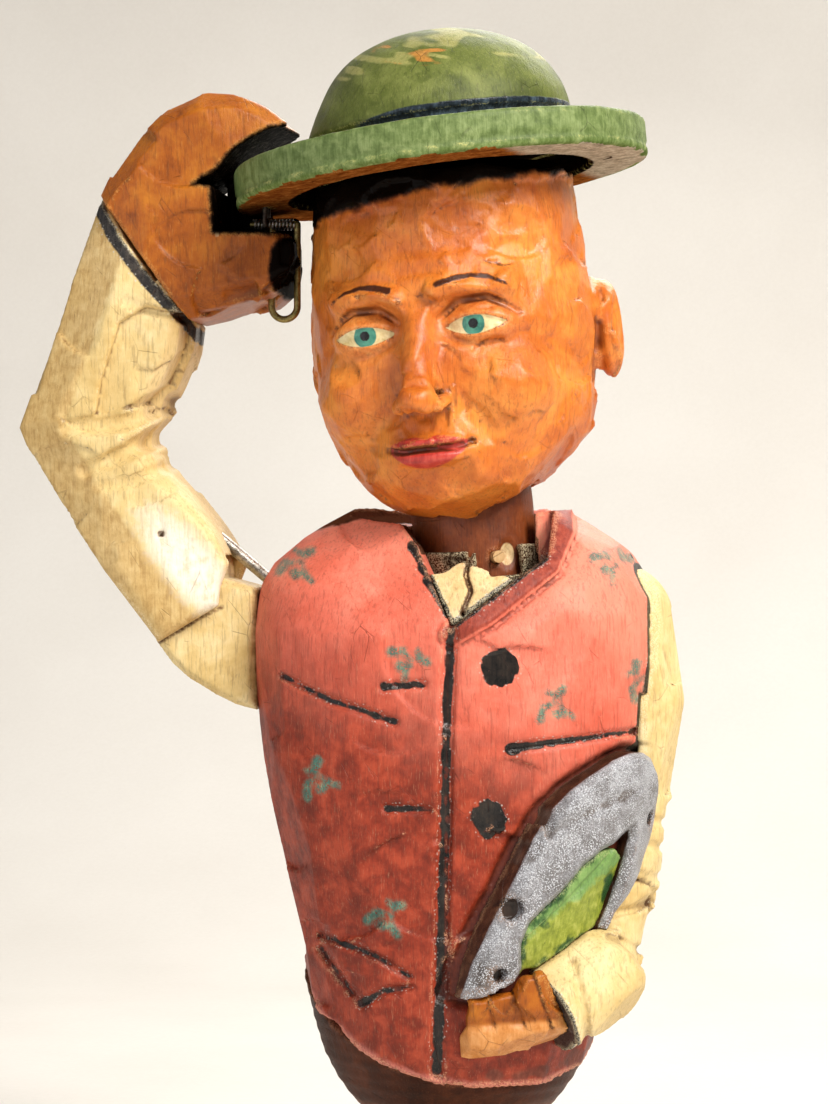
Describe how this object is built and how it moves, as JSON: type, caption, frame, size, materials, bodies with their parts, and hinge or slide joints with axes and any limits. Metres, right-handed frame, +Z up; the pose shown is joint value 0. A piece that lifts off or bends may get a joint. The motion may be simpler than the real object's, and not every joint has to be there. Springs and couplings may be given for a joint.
{
  "type": "mechanical hat-tipping bottle stopper figure",
  "caption": "Carved and painted wooden man on a cork: pressing the tab in his back swings one arm outward and lifts the hat off his head.",
  "frame": {"origin": "centre of the seat, where the wooden base meets the top of the cork", "axes": "+Z up along the cork's axis, -Y the way the figure faces, -X the side of his raised right arm"},
  "size_m": [0.0665, 0.0441, 0.1315],
  "materials": {
    "cork": "matt cork, pitted",
    "base_brown": "dark brown stain, satin",
    "vest_red": "terracotta paint on carved wood, matt",
    "shirt_cream": "cream paint on carved wood, matt",
    "sleeve_cream": "cream paint on carved wood, worn",
    "skin_stain": "orange-brown stain, satin",
    "neck_brown": "brown stain, matt",
    "bare_wood": "bare beech, matt",
    "hat_green": "olive green paint, worn at the edge",
    "steel_wire": "drawn wire",
    "dark_wire": "old wire, dull",
    "brass_wire": "old wire, dull",
    "plate": "aged sheet",
    "silver_paint": "silver glitter paint on carved wood",
    "clover_green": "leaf green paint on carved wood"
  },
  "bodies": {
    "torso": {"cork_stopper": "cork", "cork_dowel": "bare_wood", "base_block": "base_brown", "vest_body": "vest_red", "shirt_collar": "shirt_cream", "shoulder_stub": "sleeve_cream", "stub_dowel": "bare_wood", "back_plate": "plate", "back_plate_brads": "plate", "left_sleeve": "sleeve_cream", "left_hand": "skin_stain", "horseshoe": "silver_paint", "clover": "clover_green"},
    "head_unit": {"head": "skin_stain", "neck_dowel": "neck_brown", "neck_peg": "bare_wood"},
    "raised_arm": {"right_sleeve": "sleeve_cream", "right_hand": "skin_stain", "wrist_dowel": "bare_wood", "shoulder_pin": "steel_wire", "crank_wire": "dark_wire", "hat_link_wire": "brass_wire"},
    "hat_unit": {"hat": "hat_green", "hat_staple": "steel_wire"},
    "lever": {"lever_wire": "steel_wire", "lever_tab": "bare_wood"}
  },
  "joints": [
    {"name": "arm_raise", "type": "hinge", "parent": "torso", "child": "raised_arm", "pos_m": [-0.0276, 0, 0.0525], "axis": [0, -1, 0], "range_deg": [0, 20]},
    {"name": "lever_press", "type": "hinge", "parent": "torso", "child": "lever", "pos_m": [0, 0.011, 0.04356], "axis": [-1, 0, 0], "range_deg": [0, 32.5]},
    {"name": "hat_rock", "type": "hinge", "parent": "raised_arm", "child": "hat_unit", "pos_m": [-0.018, -0.001, 0.0876], "axis": [1, 0, 0], "range_deg": [-4, 4]},
    {"name": "head_turn", "type": "hinge", "parent": "torso", "child": "head_unit", "pos_m": [0.0025, 0, 0.05], "axis": [-0.0958, 0, 0.9954], "range_deg": [-9, 9]}
  ],
  "couplings": [
    {"joint": "lever_press", "follows": "arm_raise", "ratio": 1.62}
  ]
}
